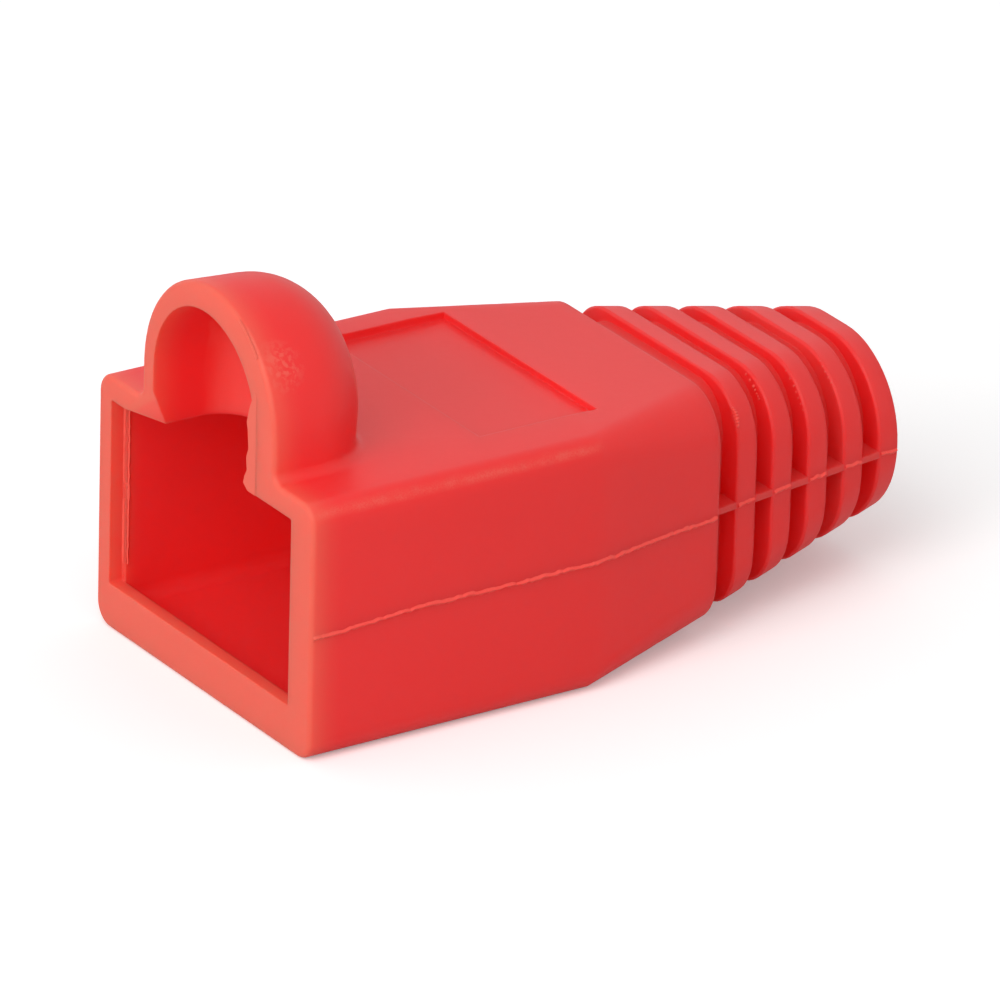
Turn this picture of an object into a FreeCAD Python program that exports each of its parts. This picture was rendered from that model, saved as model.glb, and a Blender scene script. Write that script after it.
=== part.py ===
import FreeCAD, Part
import math
import os

# RJ45 strain relief boot: one soft moulding that slips over a modular plug and its cable.
# A box with an open mouth takes the plug. A hollow hoop over the mouth guards the latch.
# Behind the box the body tapers to a ribbed tail with a bore that grips the cable.
#
# Frame: +X runs from the mouth to the tail, +Y is across, +Z is up.
# The origin is under the middle of the boot, on the flat face that it rests on.

# ---- plug and cable that the boot is made for
plug_width = 11.68
plug_height = 6.60
cable_diameter = 5.20

# ---- clearances
plug_side_clearance = 0.10
plug_height_clearance = 0.42
mouth_side_clearance = 0.04
bore_interference = 0.20

# ---- lengths along X
box_length = 11.73
shoulder_length = 5.84
rib_count = 4
first_groove_width = 1.12
groove_width = 0.76
rib_width = 0.95
collar_length = 0.95

# ---- walls of the box and its outside corners
side_wall = 1.06
top_wall = 0.86
floor_wall = 0.98
body_bottom_radius = 0.85
body_top_radius = 0.75
front_rim_radius = 0.20

# ---- how far the shoulder draws in from the box at its rear
shoulder_side_inset = 1.17
shoulder_top_inset = 0.17
shoulder_end_bottom = 0.50
shoulder_end_radius = 1.90

# ---- how far the ribs stand in from the rear of the shoulder
rib_side_inset = 0.36
rib_top_inset = 0.05
tail_start_bottom_radius = 1.60
tail_start_top_radius = 1.90

# ---- section at the free end of the tail
tail_end_width = 8.04
tail_end_height = 6.86

# ---- ribs, the core that joins them and the thin web along the parting plane
rib_side_height = 1.08
rib_top_height = 0.42
rib_rim_chamfer = 0.08
web_thickness = 0.24
parting_rise = 0.15

# ---- mouth, room for the plug and the funnel behind it
sill_depth = 0.55
sill_height = 1.72
mouth_offset = 0.27
mouth_corner_radius = 0.10
cavity_corner_radius = 0.50
cavity_length = 11.40
funnel_margin = 0.28
bore_rise = 0.17

# ---- hoop that guards the latch
hoop_width = 8.60
hoop_wall = 1.00
hoop_offset = -0.13
hoop_core_offset = 0.12
hoop_leg_rise = 1.42
hoop_length = 4.90
hoop_fall = 0.38
hoop_rear_radius = 2.60
hoop_root_radius = 0.40
hoop_lead_in_width = 1.85
hoop_lead_in_height = 1.35

# ---- shallow label panel in the top face
panel_front = 8.33
panel_length = 4.88
panel_width = 9.84
panel_depth = 0.30
panel_offset = 0.38

# ---- worked out from the sizes above
pitch = groove_width + rib_width
tail_start = box_length + shoulder_length
first_rib = tail_start + first_groove_width
tail_length = first_groove_width + rib_count * pitch + collar_length
overall_length = tail_start + tail_length
mouth_face = -overall_length / 2

mouth_width = plug_width + 2 * mouth_side_clearance
cavity_width = plug_width + 2 * plug_side_clearance
cavity_ceiling = sill_height + plug_height + plug_height_clearance
cavity_height = cavity_ceiling - floor_wall
bore_radius = (cable_diameter - bore_interference) / 2
bore_height = floor_wall + cavity_height / 2 + bore_rise
funnel_mouth_radius = cavity_height / 2 - funnel_margin

body_width = cavity_width + 2 * side_wall
body_height = cavity_ceiling + top_wall
shoulder_end_width = body_width - 2 * shoulder_side_inset
shoulder_end_top = body_height - shoulder_top_inset
tail_start_width = shoulder_end_width - 2 * rib_side_inset
tail_start_bottom = shoulder_end_bottom
tail_start_top = shoulder_end_top - rib_top_inset
tail_end_bottom = bore_height - tail_end_height / 2
tail_end_top = bore_height + tail_end_height / 2
parting_height = body_height / 2 + parting_rise

# The free end is all but round.
tail_end_radius = 0.49 * tail_end_height

hoop_tilt = math.degrees(math.atan2(hoop_fall, hoop_length))
hoop_axis_height = body_height + hoop_leg_rise
hoop_inner_width = hoop_width - 2 * hoop_wall
hoop_inner_length = hoop_length - hoop_wall
hoop_inner_rear_radius = hoop_rear_radius - hoop_wall

# Pieces reach this far into each other before they are joined.
overlap = 0.5


def at(x, y, z):
    """A point, with x measured from the mouth face."""
    return FreeCAD.Vector(mouth_face + x, y, z)


def rounded_section(x, width, bottom, top, bottom_radius, top_radius, offset=0.0):
    """Closed wire of a rectangle with round corners, standing across the boot at x."""
    half = width / 2
    diagonal = math.sqrt(0.5)
    corners = [
        (1, top, -1, top_radius, (0, 1), (1, 0)),
        (1, bottom, 1, bottom_radius, (1, 0), (0, -1)),
        (-1, bottom, 1, bottom_radius, (0, -1), (-1, 0)),
        (-1, top, -1, top_radius, (-1, 0), (0, 1)),
    ]
    arcs = []
    for side, level, inward, radius, first, last in corners:
        centre_y = offset + side * (half - radius)
        centre_z = level + inward * radius
        middle = ((first[0] + last[0]) * diagonal, (first[1] + last[1]) * diagonal)
        points = []
        for direction in (first, middle, last):
            points.append(at(x, centre_y + radius * direction[0], centre_z + radius * direction[1]))
        arcs.append(points)
    edges = []
    for index, points in enumerate(arcs):
        following = arcs[(index + 1) % len(arcs)]
        edges.append(Part.Arc(*points).toShape())
        edges.append(Part.makeLine(points[2], following[0]))
    return Part.Wire(edges)


def ruled_solid(first, last):
    """Solid with straight rulings between two sections."""
    return Part.makeLoft([first, last], True, True)


def prism(section, length):
    """Solid of one section carried back along X."""
    return Part.Face(section).extrude(FreeCAD.Vector(length, 0, 0))


def across_edges(shape):
    """Edges of a shape that lie in a plane across the boot."""
    return [edge for edge in shape.Edges if edge.BoundBox.XLength < 1e-6]


def tilted_arch(length, width, rear_radius, foot, offset):
    """Arch across the boot with straight legs and a half round crown that falls to the rear.

    It starts at the mouth face, and its rear rim is rounded over the legs and the crown.
    """
    half = width / 2
    front = -overlap
    wire = Part.Wire([
        Part.makeLine(at(front, half, foot), at(front, half, hoop_axis_height)),
        Part.Arc(at(front, half, hoop_axis_height), at(front, 0, hoop_axis_height + half),
                 at(front, -half, hoop_axis_height)).toShape(),
        Part.makeLine(at(front, -half, hoop_axis_height), at(front, -half, foot)),
        Part.makeLine(at(front, -half, foot), at(front, half, foot)),
    ])
    arch = prism(wire, length - front)
    rear = mouth_face + length
    rim = []
    for edge in across_edges(arch):
        on_rear = abs(edge.BoundBox.XMin - rear) < 1e-6
        on_foot = abs(edge.BoundBox.ZMax - foot) < 1e-6
        if on_rear and not on_foot:
            rim.append(edge)
    arch = arch.makeFillet(rear_radius, rim)
    arch.rotate(at(0, 0, hoop_axis_height + half), FreeCAD.Vector(0, 1, 0), hoop_tilt)
    arch.translate(FreeCAD.Vector(0, offset, 0))
    behind_mouth = Part.makeBox(
        2 * length, 2 * body_width, 2 * body_height, at(0, -body_width, floor_wall))
    return arch.common(behind_mouth)


def tail_section(x, side_inset=0.0, level_inset=0.0):
    """Section of the ribs at x. The insets shrink it to the core between the ribs."""
    share = (x - tail_start) / tail_length

    def between(start, end):
        return start + (end - start) * share

    width = between(tail_start_width, tail_end_width) - 2 * side_inset
    bottom = between(tail_start_bottom, tail_end_bottom) + level_inset
    top = between(tail_start_top, tail_end_top) - level_inset
    bottom_radius = between(tail_start_bottom_radius, tail_end_radius) - level_inset
    top_radius = between(tail_start_top_radius, tail_end_radius) - level_inset
    return rounded_section(x, width, bottom, top, bottom_radius, top_radius)


def box_and_shoulder():
    """Straight box round the plug and the shoulder that tapers behind it."""
    front = rounded_section(
        0, body_width, 0, body_height, body_bottom_radius, body_top_radius)
    kink = rounded_section(
        box_length, body_width, 0, body_height, body_bottom_radius, body_top_radius)
    rear = rounded_section(
        tail_start, shoulder_end_width, shoulder_end_bottom, shoulder_end_top,
        shoulder_end_radius, shoulder_end_radius)
    return prism(front, box_length).fuse(ruled_solid(kink, rear))


def tail_rib(x, length):
    """One tapered rib, with both rims bevelled."""
    rib = ruled_solid(tail_section(x), tail_section(x + length))
    return rib.makeChamfer(rib_rim_chamfer, across_edges(rib))


def groove_core(x, length):
    """Core under one groove, reaching into the ribs before and behind it."""
    reach = rib_width / 2
    section = tail_section(x + length / 2, rib_side_height, rib_top_height)
    section.translate(FreeCAD.Vector(-length / 2 - reach, 0, 0))
    return prism(section, length + 2 * reach)


def tail():
    """Ribs, end collar, core and the web that crosses the grooves at the parting plane."""
    full = ruled_solid(tail_section(tail_start - overlap), tail_section(overall_length))
    slab = Part.makeBox(
        tail_length + overlap - collar_length / 2, body_width, web_thickness,
        at(tail_start - overlap, -body_width / 2, parting_height - web_thickness / 2))
    pieces = [full.common(slab), groove_core(tail_start, first_groove_width)]
    for index in range(rib_count):
        rib_front = first_rib + index * pitch
        pieces.append(tail_rib(rib_front, rib_width))
        pieces.append(groove_core(rib_front + rib_width, groove_width))
    collar = tail_rib(first_rib + rib_count * pitch, collar_length)
    return collar.fuse(pieces)


def latch_hoop():
    """Outside of the hoop, with its foot buried in the top wall."""
    return tilted_arch(hoop_length, hoop_width, hoop_rear_radius, cavity_ceiling, hoop_offset)


def hoop_space():
    """Hollow of the hoop, closed at the rear and open to the mouth below."""
    return tilted_arch(
        hoop_inner_length, hoop_inner_width, hoop_inner_rear_radius,
        cavity_ceiling - overlap, hoop_core_offset)


def hoop_lead_in():
    """Bevel that leads the latch into the hoop, at the foot of the far leg."""
    leg = hoop_core_offset + hoop_inner_width / 2
    corner = at(0, leg, cavity_ceiling)
    along_ceiling = at(0, leg + hoop_lead_in_width, cavity_ceiling)
    up_leg = at(0, leg, cavity_ceiling + hoop_lead_in_height)
    inward = at(sill_depth, leg, cavity_ceiling)
    triangles = [
        (corner, along_ceiling, up_leg),
        (corner, up_leg, inward),
        (corner, inward, along_ceiling),
        (along_ceiling, inward, up_leg),
    ]
    faces = []
    for triangle in triangles:
        faces.append(Part.Face(Part.makePolygon(list(triangle) + [triangle[0]])))
    return Part.Solid(Part.Shell(faces))


def plug_cavity():
    """Mouth with its sill, the room for the plug, the funnel and the cable bore."""
    mouth = prism(
        rounded_section(0, mouth_width, sill_height, cavity_ceiling,
                        mouth_corner_radius, mouth_corner_radius, mouth_offset),
        sill_depth)
    room = prism(
        rounded_section(sill_depth, cavity_width, floor_wall, cavity_ceiling,
                        cavity_corner_radius, cavity_corner_radius),
        cavity_length - sill_depth)
    along = FreeCAD.Vector(1, 0, 0)
    funnel = Part.makeCone(
        funnel_mouth_radius, bore_radius, first_rib - cavity_length,
        at(cavity_length, 0, bore_height), along)
    bore = Part.makeCylinder(
        bore_radius, tail_length, at(first_rib - overlap, 0, bore_height), along)
    return [mouth, room, funnel, bore]


def label_panel():
    """Shallow rectangle sunk in the top face, left bare."""
    return Part.makeBox(
        panel_length, panel_width, body_height,
        at(panel_front, panel_offset - panel_width / 2, body_height - panel_depth))


def root_edges(shape):
    """Edges where the outside of the hoop meets the flat top face."""
    edges = []
    for edge in shape.Edges:
        box = edge.BoundBox
        on_top = abs(box.ZMin - body_height) < 1e-4 and abs(box.ZMax - body_height) < 1e-4
        under_hoop = box.XMax < mouth_face + hoop_length + 1e-3
        beside_hoop = abs(box.Center.y - hoop_offset) < hoop_width / 2 + 1e-3
        if on_top and under_hoop and beside_hoop:
            edges.append(edge)
    return edges


def front_rim(shape):
    """Outer edges of the mouth face, round the box and over the hoop."""
    return [edge for edge in across_edges(shape) if abs(edge.BoundBox.XMax - mouth_face) < 1e-6]


def strain_relief_boot():
    """The whole moulding."""
    shape = box_and_shoulder().fuse(latch_hoop()).removeSplitter()
    shape = shape.makeFillet(hoop_root_radius, root_edges(shape))
    shape = shape.makeFillet(front_rim_radius, front_rim(shape))
    shape = shape.cut(label_panel())
    shape = shape.fuse(tail())
    shape = shape.cut(plug_cavity())
    shape = shape.cut(hoop_space())
    return shape.cut(hoop_lead_in())


os.makedirs("parts", exist_ok=True)
boot = strain_relief_boot()
boot.exportStep("parts/strain_relief_boot.step")
print("solids", len(boot.Solids), "valid", boot.isValid())
print("volume mm3", round(boot.Volume, 1), "box", boot.BoundBox)
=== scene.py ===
# %% [markdown]
# # A soft boot for a modular plug
# The object is one piece of soft red PVC. It slips over the plug on a network cable. The box grips the
# plug, the hoop keeps the latch from catching, and the ribbed tail lets the cable bend without kinking.
# The shape comes from the CAD model. This lesson gives it a skin of real PVC, the thin flash that the
# mould leaves at its joints, and a plain studio with a camera.

# %% Load the frame
import bpy
import math
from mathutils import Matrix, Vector


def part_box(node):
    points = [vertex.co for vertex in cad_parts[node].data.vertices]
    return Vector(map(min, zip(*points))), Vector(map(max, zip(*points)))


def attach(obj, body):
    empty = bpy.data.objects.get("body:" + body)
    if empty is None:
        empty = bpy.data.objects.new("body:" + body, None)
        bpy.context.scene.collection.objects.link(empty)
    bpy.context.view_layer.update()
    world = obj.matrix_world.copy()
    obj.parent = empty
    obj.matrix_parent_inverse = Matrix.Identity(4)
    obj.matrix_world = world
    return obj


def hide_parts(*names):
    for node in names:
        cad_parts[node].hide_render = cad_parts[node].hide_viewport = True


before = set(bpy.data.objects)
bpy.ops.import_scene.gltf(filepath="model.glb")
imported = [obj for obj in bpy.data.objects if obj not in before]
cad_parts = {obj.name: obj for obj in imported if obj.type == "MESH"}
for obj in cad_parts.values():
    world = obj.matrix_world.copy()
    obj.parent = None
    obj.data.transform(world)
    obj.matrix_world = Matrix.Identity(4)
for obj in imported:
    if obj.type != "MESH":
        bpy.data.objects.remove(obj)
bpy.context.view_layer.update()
mm = 0.001

# %% [markdown]
# Blender works in metres, and the CAD node sits at the origin with its place in its vertices. A boot is
# easier to think of in millimetres, so the places below are in mm and are multiplied by mm where Blender
# needs them. They are counted from the box of the CAD node: the mouth is its low end along X, the tail is
# its high end, and the boot rests on its low end along Z. The places behind the box are rounded to 0.01 mm.
# The walls of the ribs lie exactly where a mask of the finish repeats, so the last digit of an unrounded
# number would decide how a whole wall is painted.

# %% Places on the boot, in mm
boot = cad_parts["strain_relief_boot"]
boot_low, boot_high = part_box("strain_relief_boot")
front = boot_low.x / mm
parting = boot_low.z / mm + 4.95

box_length = 11.73
shoulder_length = 5.84
first_groove = 1.12
rib = 0.95
groove = 0.76

box_end = round(front + box_length, 2)
tail_start = round(box_end + shoulder_length, 2)
first_rib = round(tail_start + first_groove, 2)
rib_pitch = round(rib + groove, 2)
hoop_radius = 4.30
hoop_axis = 11.02
print("mouth at", round(front, 2), "shoulder ends at", round(tail_start, 2), "tail ends at",
      round(boot_high.x / mm, 2))

# %% [markdown]
# An operator acts on everything that is selected, and loading leaves the CAD node selected. So each piece
# starts from a clean selection. These small helpers keep the later cells short.

# %% Selection helpers
def clear_selection():
    """Leave edit mode if need be and select nothing."""
    if bpy.context.object and bpy.context.object.mode != "OBJECT":
        bpy.ops.object.mode_set(mode="OBJECT")
    bpy.ops.object.select_all(action="DESELECT")


def select_only(thing):
    """Make one object the selected and active one."""
    clear_selection()
    thing.select_set(True)
    bpy.context.view_layer.objects.active = thing


def edit_all(thing):
    """Open one object in edit mode with all of it selected."""
    select_only(thing)
    bpy.ops.object.mode_set(mode="EDIT")
    bpy.ops.mesh.select_all(action="SELECT")


def select_points(thing, chosen):
    """Open one object in edit mode with only these points selected, given by their numbers."""
    edit_all(thing)
    bpy.ops.mesh.select_all(action="DESELECT")
    bpy.ops.object.mode_set(mode="OBJECT")
    for index in chosen:
        thing.data.vertices[index].select = True
    bpy.ops.object.mode_set(mode="EDIT")


clear_selection()
print("selected after a clean start:", len(bpy.context.selected_objects))

# %% [markdown]
# Every piece ends in the same way. A modifier is applied as soon as it is set, and the flat sides of a
# thin piece are turned outwards at the end.

# %% Finishing helpers
def done(thing, material):
    """Bake the place into the mesh, give the finish and tie the piece to the body."""
    select_only(thing)
    bpy.ops.object.transform_apply(location=True, rotation=True, scale=True)
    thing.data.materials.clear()
    thing.data.materials.append(material)
    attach(thing, "root")
    print(thing.name, "has", len(thing.data.polygons), "faces")


def run_modifier(thing, kind, **settings):
    """Add a modifier, set it and apply it."""
    select_only(thing)
    modifier = thing.modifiers.new(kind.lower(), kind)
    for key, value in settings.items():
        setattr(modifier, key, value)
    bpy.ops.object.modifier_apply(modifier=modifier.name)


def face_outwards(thing):
    """Turn the normals of a closed piece outwards."""
    edit_all(thing)
    bpy.ops.mesh.normals_make_consistent(inside=False)
    bpy.ops.object.mode_set(mode="OBJECT")


# %% [markdown]
# ## The finish
# Soft PVC is a strong red in its body and has a satin skin. It could be one plain colour, but a real boot
# is never that even, and the mould leaves a grain. So the colour is built in layers, each one a few nodes
# that say where it lies: painted shade on the groove floors, painted light at the front of the mouth and on
# the hoop's hollow, and pale worn skin. A layer needs a mask, which is a number from 0 to 1 at each point.
# Masks are made from the point's own X, Y and Z, so they stay on the boot however it turns.

# %% Node helpers
def add_node(tree, kind, sockets=None, **options):
    """Add a node, set its options, and fill its sockets with numbers or with links."""
    node = tree.nodes.new(kind)
    for option, value in options.items():
        setattr(node, option, value)
    for socket, value in (sockets or {}).items():
        if isinstance(value, bpy.types.NodeSocket):
            tree.links.new(value, node.inputs[socket])
        else:
            node.inputs[socket].default_value = value
    return node


def combine(tree, operation, first, second=0.0):
    """Join two masks by one sum, such as MULTIPLY or MAXIMUM."""
    return add_node(tree, "ShaderNodeMath", {0: first, 1: second}, operation=operation).outputs["Value"]


def all_of(tree, *masks):
    """Where every mask holds."""
    result = masks[0]
    for mask in masks[1:]:
        result = combine(tree, "MULTIPLY", result, mask)
    return result


def mix_colour(tree, mask, below, above):
    """Lay one colour over another where the mask holds."""
    sockets = {"Factor": mask, "A": below, "B": above}
    return add_node(tree, "ShaderNodeMix", sockets, data_type="RGBA").outputs["Result"]


# %% [markdown]
# Two kinds of mask do most of the work. A ramp goes from one level to another between two distances, and
# a bit of noise added to the distance first tears its edge. Grains are noise with its contrast raised,
# for scratches and for the pale line along the upper edges.

# %% Masks
def noise(tree, place, scale, detail):
    """Smooth noise around 0.5. A larger scale gives smaller spots."""
    return add_node(tree, "ShaderNodeTexNoise",
                    {"Vector": place, "Scale": scale, "Detail": detail}).outputs["Fac"]


def torn(tree, distance, ragged, reach):
    """A distance that wanders by up to reach mm."""
    return combine(tree, "ADD", combine(tree, "MULTIPLY", ragged, reach * mm), distance)


def ramp(tree, distance, low, high, start, end):
    """A mask that goes from start to end between two distances in mm."""
    sockets = {"Value": distance, "From Min": low * mm, "From Max": high * mm, "To Min": start, "To Max": end}
    return add_node(tree, "ShaderNodeMapRange", sockets).outputs["Result"]


def grains(tree, place, scale, low, high, least):
    """Spots of noise as a mask that never falls below its least level."""
    sockets = {"Value": noise(tree, place, scale, 3), "From Min": low, "From Max": high, "To Min": least}
    return add_node(tree, "ShaderNodeMapRange", sockets).outputs["Result"]


# %% [markdown]
# The body colour drifts slowly between two close reds, as in any moulded part. The floors of the grooves
# are painted a little darker and duller, as painted shade in these recesses. They could be painted by
# selecting faces, but they repeat evenly along the tail, so a remainder finds them: X counted from the
# first rib, divided by the pitch, leaves more than the width of a rib only in a groove.

# %% Red of the body
def body_red(tree, place, x):
    """The two reds of the body, with painted shade on the groove floors."""
    red = mix_colour(tree, noise(tree, place, 160, 2), (0.95, 0.029, 0.031, 1), (0.98, 0.034, 0.036, 1))
    from_rib = combine(tree, "SUBTRACT", x, first_rib * mm)
    in_pitch = combine(tree, "FLOORED_MODULO", from_rib, rib_pitch * mm)
    # Painted shade: the groove floors get a darker, duller red.
    groove_shade = all_of(tree, ramp(tree, in_pitch, rib - 0.02, rib + 0.03, 0.0, 1.0),
                          ramp(tree, x, tail_start + 0.01, tail_start + 0.05, 0.0, 1.0))
    return mix_colour(tree, groove_shade, red, (0.87, 0.052, 0.050, 1))


print("groove floors repeat every", round(rib_pitch, 2), "mm from", round(first_rib, 2), "mm")

# %% [markdown]
# Three places are painted pale. The back of the hoop's hollow gets a patch with a torn edge, which is
# painted light where the light from ahead falls on it. The near side of the hoop has fine scratches close
# to the mouth. A rough line runs along the upper edges of the box, partly worn skin from handling and partly
# a painted highlight along the rounded edge. Each place is a few ramps multiplied together.

# %% Worn places and painted light
scratched_spot = Vector((front + 0.69, -3.55, 13.5)) * mm


def wear_and_painted_light(tree, place, x, y, z, ragged):
    """Mask of the painted light on the hoop's hollow, the scratches on the hoop and the line of wear and
    painted highlight along the upper edges.
    """
    out_y = combine(tree, "ABSOLUTE", y)
    # Painted light: a pale patch on the back of the hoop's hollow, where the light from ahead falls.
    hollow_light = all_of(tree, ramp(tree, torn(tree, x, ragged, 0.4), front + 2.26, front + 2.38, 0.0, 0.30),
                   ramp(tree, x, front + 4.04, front + 4.14, 1.0, 0.0),
                   ramp(tree, out_y, 3.3, 3.45, 1.0, 0.0),
                   ramp(tree, z, 8.8, 8.9, 0.0, 1.0), ramp(tree, z, 12.4, 13.0, 1.0, 0.0))

    from_spot = add_node(tree, "ShaderNodeVectorMath", {0: place, 1: scratched_spot}, operation="DISTANCE")
    scratches = all_of(tree, ramp(tree, from_spot.outputs["Value"], 0.4, 1.1, 0.85, 0.0),
                       grains(tree, place, 5200, 0.44, 0.60, 0.0))

    # Worn skin and a painted highlight: a rough pale line along the rounded upper edges.
    edge_wear_and_highlight = all_of(tree, ramp(tree, out_y, 6.45, 6.60, 0.0, 0.80),
                         ramp(tree, z, 9.08, 9.26, 0.0, 1.0),
                         ramp(tree, torn(tree, z, ragged, 0.14), 9.40, 9.58, 1.0, 0.0),
                         ramp(tree, x, box_end - 0.49, box_end + 0.51, 1.0, 0.0),
                         grains(tree, place, 16000, 0.30, 0.70, 0.35),
                         grains(tree, place, 1700, 0.42, 0.58, 0.62))
    return combine(tree, "MAXIMUM", combine(tree, "MAXIMUM", hollow_light, scratches), edge_wear_and_highlight)


print("the scratches are round", [round(v / mm, 2) for v in scratched_spot], "mm")

# %% [markdown]
# The front of the mouth is painted a paler orange, as painted light where the light from ahead falls on it.
# The band is crisp on the rim and fades over 1.2 mm outside, so its levels are stops of a colour ramp. Just
# inside the mouth it lies on the walls just behind the rim, and there it ends in a torn edge.

# %% Painted light at the mouth
band_width = 1.2
band_stops = ((0.07, 1.0), (0.13, 0.68), (0.28, 0.54), (0.62, 0.20), (1.0, 0.0))


def front_light_band(tree, x, y, z, ragged):
    """Mask of the painted light on the band outside the mouth and on the walls just inside it."""
    # Painted light: the front of the mouth turns paler orange where the light from ahead falls.
    fade = add_node(tree, "ShaderNodeValToRGB", {"Fac": ramp(tree, x, front, front + band_width, 0.0, 1.0)})
    stops = fade.color_ramp.elements
    stops[0].position, stops[1].position = band_stops[0][0], band_stops[-1][0]
    for position, _ in band_stops[1:-1]:
        stops.new(position)
    for stop, (_, level) in zip(stops, band_stops):
        stop.color = (level, level, level, 1)

    out_y = combine(tree, "ABSOLUTE", y)
    inside = all_of(tree, ramp(tree, torn(tree, x, ragged, 0.2), front + 0.25, front + 1.15, 1.0, 0.0),
                    ramp(tree, out_y, 6.25, 6.35, 1.0, 0.0), ramp(tree, z, 1.2, 1.3, 0.0, 1.0),
                    ramp(tree, z, 8.8, 8.9, 1.0, 0.0))
    return combine(tree, "MAXIMUM", fade.outputs["Color"], inside)


print("the rubbed band is", band_width, "mm wide with", len(band_stops), "stops")

# %% [markdown]
# The mould's fine grain is far too small to model, so it is a bump. Under it a Bevel node rounds the edges
# by a tenth of a millimetre in the shading only, because soft PVC never leaves the mould with sharp ones.

# %% Grain of the mould
grain_height = 0.02


def mould_grain(tree, place, edge_radius):
    """Normals with soft edges and a fine grain."""
    soft_edge = add_node(tree, "ShaderNodeBevel", {"Radius": edge_radius}, samples=4)
    sockets = {"Height": noise(tree, place, 2600, 3), "Normal": soft_edge.outputs["Normal"], "Strength": 0.25,
               "Distance": grain_height * mm}
    return add_node(tree, "ShaderNodeBump", sockets).outputs["Normal"]


print("bump distance of the grain:", grain_height, "mm")

# %% [markdown]
# Now the layers meet in one Principled shader. The body colour stays deep, and the paler look of the
# outside comes from the broad, weak reflection of a bright room, together with the painted light at the
# front of the mouth. Light enters the plastic and comes out again nearby, which makes the thin walls glow.
# Fixed numbers sit on the shader's own sockets.
#
# The hairs of flash are made of the same PVC, but they are so thin that the renderer loses the light that
# goes under their skin and shows them dark. So they get the finish without the glow and without the soft
# edges, and they are painted half pale all over, as painted light in place of the lost glow.

# %% The red PVC
def red_pvc(name, glow, edge_radius, least_painted_light):
    """Satin red PVC with painted shade on the groove floors, its worn places, painted light at the mouth, on
    the hoop's hollow and along the upper edges, and the grain of the mould.
    """
    material = bpy.data.materials.new(name)
    material.use_nodes = True
    tree = material.node_tree
    place = add_node(tree, "ShaderNodeTexCoord").outputs["Object"]
    along = add_node(tree, "ShaderNodeSeparateXYZ", {"Vector": place})
    x, y, z = (along.outputs[axis] for axis in "XYZ")
    ragged = noise(tree, place, 900, 4)

    # The pale colour is wear, painted light on the hoop's hollow and the upper edges, and on the flash a
    # painted pale level in place of its lost glow.
    wear_and_light = combine(tree, "MAXIMUM", wear_and_painted_light(tree, place, x, y, z, ragged), least_painted_light)
    worn_and_lit_red = mix_colour(tree, wear_and_light, body_red(tree, place, x), (0.97, 0.130, 0.098, 1))
    # Painted light: the front of the mouth and the walls just inside it turn paler orange.
    frontlit = mix_colour(tree, front_light_band(tree, x, y, z, ragged), worn_and_lit_red, (0.85, 0.128, 0.084, 1))

    skin_shader = tree.nodes["Principled BSDF"]
    tree.links.new(frontlit, skin_shader.inputs["Base Color"])
    tree.links.new(mould_grain(tree, place, edge_radius), skin_shader.inputs["Normal"])
    skin_shader.inputs["Roughness"].default_value = 0.46
    skin_shader.inputs["IOR"].default_value = 1.42
    skin_shader.inputs["Specular Tint"].default_value = (1.0, 0.98, 0.88, 1)
    skin_shader.inputs["Subsurface Weight"].default_value = glow
    skin_shader.inputs["Subsurface Radius"].default_value = (1.0, 0.10, 0.08)
    skin_shader.inputs["Subsurface Scale"].default_value = 1.4 * mm
    return material


pvc = red_pvc("soft_red_pvc", glow=0.8, edge_radius=0.10 * mm, least_painted_light=0.0)
# Painted light: the flash is painted half pale all over in place of the glow it loses.
flash_pvc = red_pvc("flash_pvc", glow=0.0, edge_radius=0.0, least_painted_light=0.52)
print("materials ready:", pvc.name, flash_pvc.name, "with", len(pvc.node_tree.nodes), "nodes each")

# %% [markdown]
# ## The skin
# The CAD node is made of loose triangles, which would show as facets. It could be hidden under a new model,
# but its shape is already true. So a copy is merged into one closed skin, and its curved faces are smoothed
# up to an angle, so that the true edges stay crisp. The skin then stands in for the CAD node.

# %% Merge a copy of the moulding
skin = bpy.data.objects.new("boot_skin", boot.data.copy())
bpy.context.scene.collection.objects.link(skin)
edit_all(skin)
bpy.ops.mesh.customdata_custom_splitnormals_clear()
bpy.ops.mesh.remove_doubles(threshold=0.0002 * mm)
bpy.ops.object.mode_set(mode="OBJECT")
bpy.ops.object.shade_smooth_by_angle(angle=math.radians(27))
done(skin, pvc)
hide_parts("strain_relief_boot")

# %% [markdown]
# ## The parting line
# The boot is moulded in two halves that meet half way up its sides, and a hair of plastic creeps into the
# joint. It could be one long sweep, but the ribs step in and out too sharply for that. So each plain
# stretch gets its own narrow strip: a grid, sagged towards the mouth, made wavy, wrapped onto the skin,
# raised along its middle row and given a thickness.
#
# Two clouds make it wavy: a slow one for the drift of the joint and a quick one for the torn edge.

# %% Clouds that make the flash wander
def cloud(name, size):
    """A cloud texture with spots of about this size in mm."""
    texture = bpy.data.textures.new(name, "CLOUDS")
    texture.noise_scale = size * mm
    return texture


slow_wave = cloud("flash_slow_wave", 1.1)
quick_wave = cloud("flash_quick_wave", 0.22)
print("waves of", round(slow_wave.noise_scale / mm, 2), "and", round(quick_wave.noise_scale / mm, 2), "mm")

# %% [markdown]
# A strip starts as a narrow grid in front of its wall. The wall may be an outer side, where the strip runs
# along X, or the inside of the mouth, where it runs up along Z. Its two long edges end up just under the
# skin, so that only the raised middle row shows.

# %% One strip of flash
point_spacing = 0.07
strip_thickness = 0.04
buried = 0.03


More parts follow.
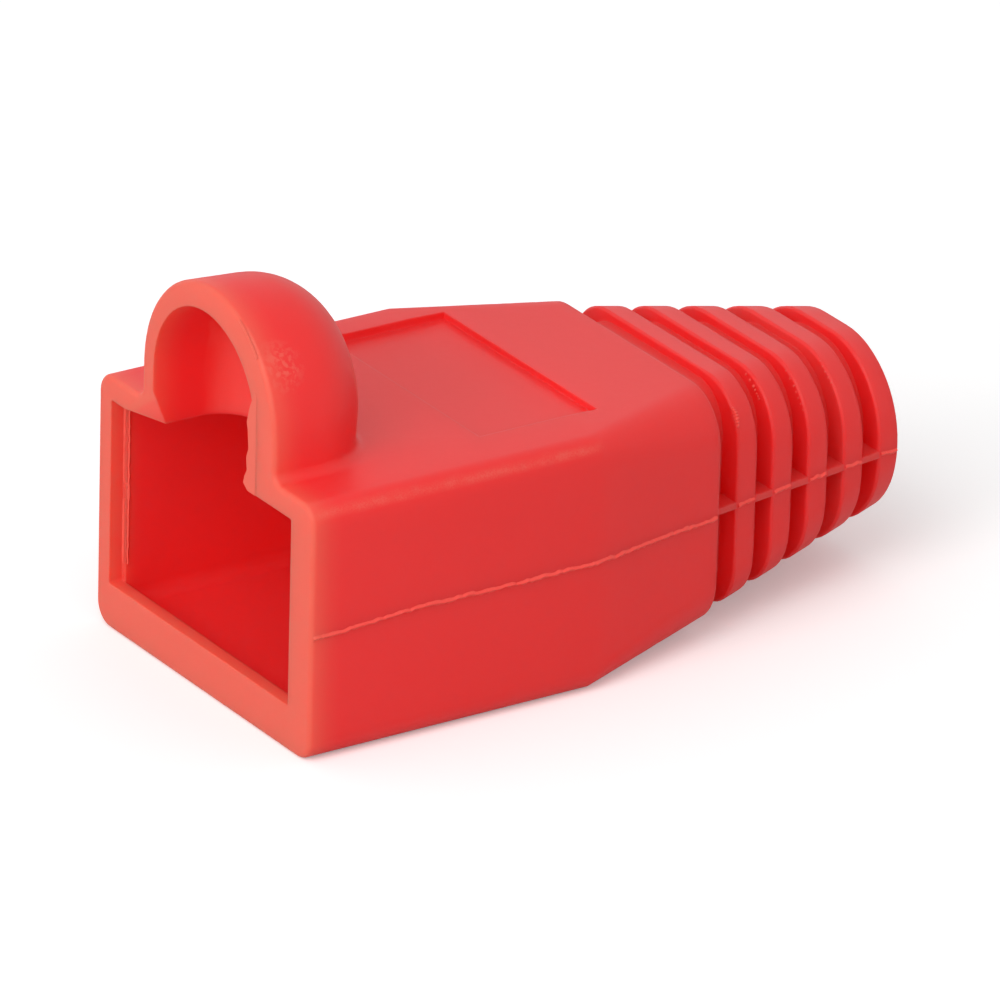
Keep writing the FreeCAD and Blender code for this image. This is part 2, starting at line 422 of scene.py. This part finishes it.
def place_strip(start, end, level, begin_y, upright, width):
    """Add a grid that runs from start to end at a level, and return it with the numbers of its middle row."""
    clear_selection()
    columns = max(6, round((end - start) / point_spacing))
    bpy.ops.mesh.primitive_grid_add(x_subdivisions=columns, y_subdivisions=2, size=1.0)
    strip = bpy.context.object
    edit_all(strip)
    bpy.ops.transform.resize(value=((end - start) * mm, width * mm, 1.0))
    bpy.ops.transform.rotate(value=math.pi / 2, orient_axis="X", center_override=(0, 0, 0))
    middle = (start + end) / 2
    centre = Vector((middle, begin_y, level)) * mm
    if upright:
        bpy.ops.transform.rotate(value=math.pi / 2, orient_axis="Y", center_override=(0, 0, 0))
        centre = Vector((level, begin_y, middle)) * mm
    bpy.ops.transform.translate(value=centre)
    bpy.ops.object.mode_set(mode="OBJECT")
    across = 0 if upright else 2
    crest = [v.index for v in strip.data.vertices if abs(v.co[across] - level * mm) < 0.01 * mm]
    return strip, crest


def flash_strip(name, start, end, level, begin_y, push,
                upright=False, width=0.17, rise=0.07, sag=0.0, wander=1.0):
    """Lay a raised hair of plastic on a wall that faces along Y. Numbers are in mm.

    It runs from start to end along X at the height level, or upright along Z at that X.
    begin_y is where it stands before it is pushed onto the wall, along Y if push is 1 and back if it is -1.
    rise is about how far its crest stands out, and sag is how far the end at the mouth hangs down.
    """
    strip, crest = place_strip(start, end, level, begin_y, upright, width)
    strip.name = name
    if sag:
        select_points(strip, [v.index for v in strip.data.vertices if v.co.x < (start + 0.04) * mm])
        bpy.ops.transform.translate(value=(0, 0, -sag * mm), use_proportional_edit=True,
                                    proportional_edit_falloff="SMOOTH", proportional_size=4.2 * mm)
        bpy.ops.object.mode_set(mode="OBJECT")
    for wave, strength in ((slow_wave, 0.16), (quick_wave, 0.14)):
        run_modifier(strip, "DISPLACE", texture=wave, texture_coords="LOCAL",
                     direction="X" if upright else "Z", strength=strength * wander * mm, mid_level=0.5)
    run_modifier(strip, "SHRINKWRAP", target=skin, wrap_method="PROJECT", use_project_y=True,
                 use_positive_direction=push > 0, use_negative_direction=push < 0)
    edit_all(strip)
    bpy.ops.transform.translate(value=(0, push * buried * mm, 0))
    select_points(strip, crest)
    bpy.ops.transform.translate(value=(0, -push * (rise + strip_thickness / 2) * mm, 0))
    bpy.ops.object.mode_set(mode="OBJECT")
    run_modifier(strip, "SOLIDIFY", thickness=strip_thickness * mm, offset=0.0)
    face_outwards(strip)
    return strip


print("a strip is", strip_thickness, "mm thick and its edges are buried by", buried, "mm")

# %% [markdown]
# The plain stretches are the box with its shoulder, then the four ribs and the collar. The strips of one
# side are joined, because they are one line on the real part. On the near side the line reaches the mouth,
# and on the far side it stops a little short of it.

# %% Parting line on both sides
def join_as(name, pieces):
    """Join pieces into one object with a name and finish it as flash."""
    clear_selection()
    for piece in pieces:
        piece.select_set(True)
    bpy.context.view_layer.objects.active = pieces[0]
    if len(pieces) > 1:
        bpy.ops.object.join()
    pieces[0].name = name
    done(pieces[0], flash_pvc)


sides = (("near", -8.0, 1, 0.10), ("far", 8.0, -1, 0.60))
rib_starts = [first_rib + number * rib_pitch for number in range(5)]
for side, begin_y, push, from_mouth in sides:
    strips = [flash_strip("parting_" + side, front + from_mouth, tail_start - 0.07, parting + 0.04,
                          begin_y, push, sag=0.24)]
    for start in rib_starts:
        strips.append(flash_strip("parting_rib", start + 0.10, start + rib - 0.10, parting, begin_y, push))
    join_as("parting_line_" + side, strips)

# %% [markdown]
# ## Flash at the lip
# The mould also closes on the step inside the far side of the mouth and leaves a hair of flash there.
# Like all the flash it is painted half pale, and it lies in the painted light of the mouth. It is the same
# strip, set upright.

# %% Flash on the far lip
lip = flash_strip("lip_flash", 2.4, 8.6, front + 0.62, 2.0, 1, upright=True, rise=0.05, wander=0.35)
join_as("mouth_flash", [lip])

# %% [markdown]
# ## The fin on the latch hoop
# Plastic also creeps out where the core of the hoop meets the front of the mould. It leaves a thin torn
# fin on the inner side of the near leg. A noise could tear its free edge, but the real tear has a shape of
# its own, with a wide foot and a thin tip. So it is a narrow grid whose free edge is pulled out row by row.

# %% Fin on the near leg
fin_root = -3.27
fin_thickness = 0.10
fin_rows = ((8.72, -2.78), (8.93, -2.50), (9.19, -2.57), (9.47, -2.72), (9.94, -2.67), (10.30, -2.80),
            (10.65, -2.77), (11.00, -2.74), (11.25, -2.67), (11.79, -2.81), (12.18, -2.97), (12.50, -3.12))
clear_selection()
bpy.ops.mesh.primitive_grid_add(x_subdivisions=1, y_subdivisions=len(fin_rows) - 1, size=1.0)
fin = bpy.context.object
fin.name = "latch_leg_fin"
edit_all(fin)
bpy.ops.transform.rotate(value=math.pi / 2, orient_axis="X", center_override=(0, 0, 0))
bpy.ops.transform.rotate(value=math.pi / 2, orient_axis="Z", center_override=(0, 0, 0))
bpy.ops.object.mode_set(mode="OBJECT")

# The grid stands across the boot, so a point's height tells its row and the sign of its Y tells its side.
# The places are noted before the first pull, so that no pulled point is taken for another row's.
grid_points = [(v.index, v.co.copy()) for v in fin.data.vertices]
grid_heights = sorted({round(co.z, 4) for _, co in grid_points})
for grid_height, (height, free_edge) in zip(grid_heights, fin_rows):
    for edge_y, is_free in ((fin_root, False), (free_edge, True)):
        corner = [index for index, co in grid_points
                  if abs(co.z - grid_height) < 1e-3 and (co.y > 0) == is_free]
        select_points(fin, corner)
        goal = Vector((front + 0.045, edge_y, height)) * mm
        bpy.ops.transform.translate(value=goal - grid_points[corner[0]][1])
        bpy.ops.object.mode_set(mode="OBJECT")
run_modifier(fin, "SOLIDIFY", thickness=fin_thickness * mm, offset=0.0)
face_outwards(fin)
done(fin, flash_pvc)

# %% [markdown]
# ## A thread on the rim of the hoop
# Where the mould closes on the front rim of the hoop, a short thread of plastic is left. It could be a curve
# with a thickness, but the rim is round, so a piece cut from a very thin ring of the hoop's own radius
# follows it exactly. The cut ends are closed with faces, and a slow wave takes the evenness away.

# %% Thread on the hoop rim
thread_angles = (40, 62)
clear_selection()
bpy.ops.mesh.primitive_torus_add(major_radius=hoop_radius * mm, minor_radius=0.05 * mm, major_segments=320,
                                 minor_segments=8)
thread = bpy.context.object
thread.name = "hoop_thread"
edit_all(thread)
bpy.ops.transform.rotate(value=math.pi / 2, orient_axis="Y", center_override=(0, 0, 0))
bpy.ops.transform.translate(value=Vector((front + 0.015, 0, hoop_axis)) * mm)
bpy.ops.object.mode_set(mode="OBJECT")


def angle_on_near_side(point):
    """Angle above the hoop's axis, in degrees, for a point on the near side."""
    return math.degrees(math.atan2(point.z - hoop_axis * mm, -point.y))


beyond = [v.index for v in thread.data.vertices
          if not (v.co.y < 0 and thread_angles[0] < angle_on_near_side(v.co) < thread_angles[1])]
select_points(thread, beyond)
bpy.ops.mesh.delete(type="VERT")
bpy.ops.mesh.select_all(action="SELECT")
bpy.ops.mesh.region_to_loop()
bpy.ops.mesh.edge_face_add()
bpy.ops.object.mode_set(mode="OBJECT")
run_modifier(thread, "DISPLACE", texture=slow_wave, texture_coords="LOCAL", direction="Y",
             strength=0.10 * mm, mid_level=0.5)
face_outwards(thread)
done(thread, flash_pvc)

# %% [markdown]
# ## Specks
# Crumbs of plastic stay on the front edges of the ribs. One crumb is modelled as a small ball and
# roughened. The others are copies of it with their own meshes, sizes and turns, and each is stretched along
# its edge. Between each two neighbours on a rib sits one more.

# %% One rough crumb
clear_selection()
bpy.ops.mesh.primitive_ico_sphere_add(subdivisions=2, radius=0.10 * mm)
crumb = bpy.context.object
crumb.name = "mould_crumbs"
rough = cloud("crumb_rough", 0.07)
run_modifier(crumb, "DISPLACE", texture=rough, texture_coords="LOCAL", strength=0.11 * mm, mid_level=0.6)
print("one crumb has", len(crumb.data.polygons), "faces")

# %% Crumbs along the ribs
crumb_places = (
    (5.50, -4.78, 8.46, 1.0), (5.52, -4.90, 8.33, 1.3), (5.52, -5.01, 8.13, 1.5), (5.52, -5.12, 7.92, 1.1),
    (7.15, -3.17, 8.79, 0.8), (7.15, -3.65, 8.51, 1.2), (7.15, -3.86, 8.31, 0.7),
    (7.15, -4.02, 8.16, 0.7), (8.87, -3.14, 8.54, 0.6), (8.87, -3.67, 8.16, 0.9), (8.87, -3.94, 7.80, 0.6),
    (8.87, -4.27, 7.47, 0.6), (10.59, -2.74, 8.39, 0.5), (10.59, -3.10, 8.11, 0.8), (10.59, -3.49, 7.84, 0.9),
)
between = [tuple((a + b) / 2 for a, b in zip(first, second))
           for first, second in zip(crumb_places, crumb_places[1:]) if second[0] - first[0] < 0.1]
crumbs = []
for number, (x, y, z, size) in enumerate(crumb_places + tuple(between)):
    copy = crumb.copy()
    copy.data = crumb.data.copy()
    bpy.context.scene.collection.objects.link(copy)
    edit_all(copy)
    bpy.ops.transform.resize(value=(size * 0.55, size * 0.5, size * 0.85))
    bpy.ops.transform.rotate(value=0.4 * math.sin(5 * number), orient_axis="Y", center_override=(0, 0, 0))
    bpy.ops.transform.rotate(value=-0.6, orient_axis="X", center_override=(0, 0, 0))
    bpy.ops.transform.translate(value=Vector((x, y, z)) * mm)
    bpy.ops.object.mode_set(mode="OBJECT")
    crumbs.append(copy)
bpy.data.objects.remove(crumb)
join_as("mould_crumbs", crumbs)

# %% [markdown]
# ## The studio
# The boot stands on a pale floor in a bright even room, with two soft lamps ahead of the mouth. A floor lit
# until it is white would throw far too much light up at the boot. So the floor is a light grey for the light
# that bounces off it, and it only looks white to the camera, where it still shows the boot's shadow.

# %% Floor
clear_selection()
bpy.ops.mesh.primitive_plane_add(size=6.0, location=(0, 0, boot_low.z))
floor = bpy.context.object
floor.name = "studio_floor"


def white_paper():
    """Matte paper that looks fully white to the camera where it is not in shade."""
    material = bpy.data.materials.new("white_paper")
    material.use_nodes = True
    tree = material.node_tree
    seen = add_node(tree, "ShaderNodeLightPath").outputs["Is Camera Ray"]
    paper = tree.nodes["Principled BSDF"]
    paper.inputs["Roughness"].default_value = 1.0
    paper.inputs["Specular IOR Level"].default_value = 0.0
    paper.inputs["Emission Color"].default_value = (1, 1, 1, 1)
    white = mix_colour(tree, seen, (0.76, 0.76, 0.76, 1), (1.0, 1.0, 1.0, 1))
    tree.links.new(white, paper.inputs["Base Color"])
    tree.links.new(combine(tree, "MULTIPLY", seen, 0.24), paper.inputs["Emission Strength"])
    return material


floor.data.materials.append(white_paper())
print("floor at", round(boot_low.z / mm, 3), "mm")

# %% [markdown]
# The room's light is a world with one white background. It is stronger from the mouth's side than from the
# tail's, which shades the boot softly along its length. Camera and glossy rays see it at full strength, so
# the background is white and the satin skin mirrors a white room.

# %% Room light
room = bpy.data.worlds.new("bright_room")
bpy.context.scene.world = room
room.use_nodes = True
room_tree = room.node_tree
room_place = add_node(room_tree, "ShaderNodeTexCoord").outputs["Object"]
room_along = add_node(room_tree, "ShaderNodeSeparateXYZ", {"Vector": room_place})
room_level = add_node(room_tree, "ShaderNodeMapRange",
                      {"Value": room_along.outputs["X"], "From Min": -1.0, "To Min": 0.68, "To Max": 0.44})
room_rays = add_node(room_tree, "ShaderNodeLightPath")
room_seen = combine(room_tree, "MAXIMUM",
                    room_rays.outputs["Is Camera Ray"], room_rays.outputs["Is Glossy Ray"])
room_strength = add_node(room_tree, "ShaderNodeMix",
                         {"Factor": room_seen, "A": room_level.outputs["Result"], "B": 1.0})
room_light = room_tree.nodes["Background"]
room_light.inputs["Color"].default_value = (1, 1, 1, 1)
room_tree.links.new(room_strength.outputs["Result"], room_light.inputs["Strength"])
print("room light has", len(room_tree.nodes), "nodes")

# %% [markdown]
# Two square lamps give the boot its form. The larger one stands high ahead of the mouth, on the near side,
# and lights the top and the near side. The smaller one stands lower and reaches into the mouth.

# %% Soft lamps
def soft_lamp(name, place, size, power):
    """A square lamp at a place, turned to face the boot."""
    clear_selection()
    bpy.ops.object.light_add(type="AREA", location=place)
    lamp = bpy.context.object
    lamp.name = name
    lamp.data.size = size
    lamp.data.energy = power
    lamp.rotation_euler = Vector(place).to_track_quat("Z", "Y").to_euler()


soft_lamp("key_lamp", (-0.34, -0.20, 0.42), size=0.40, power=1.05)
soft_lamp("mouth_lamp", (-0.50, -0.15, 0.20), size=0.25, power=0.75)

# %% [markdown]
# ## The camera
# A long lens from well back keeps the lines of the box nearly parallel. The camera looks at the boot from
# its mouth end, a little from above.

# %% Camera
bpy.ops.object.camera_add(location=(-0.23469, -0.35062, 0.19254))
camera = bpy.context.object
camera.name = "studio_camera"
camera.rotation_euler = (math.radians(65.950), math.radians(-1.389), math.radians(-33.068))
camera.data.lens = 473.64
camera.data.sensor_width = 36.0
camera.data.clip_start = 0.01
camera.data.clip_end = 20.0
bpy.context.scene.camera = camera
bpy.context.scene.view_settings.view_transform = "Standard"
print("camera is", round(camera.location.length, 3), "m from the boot")
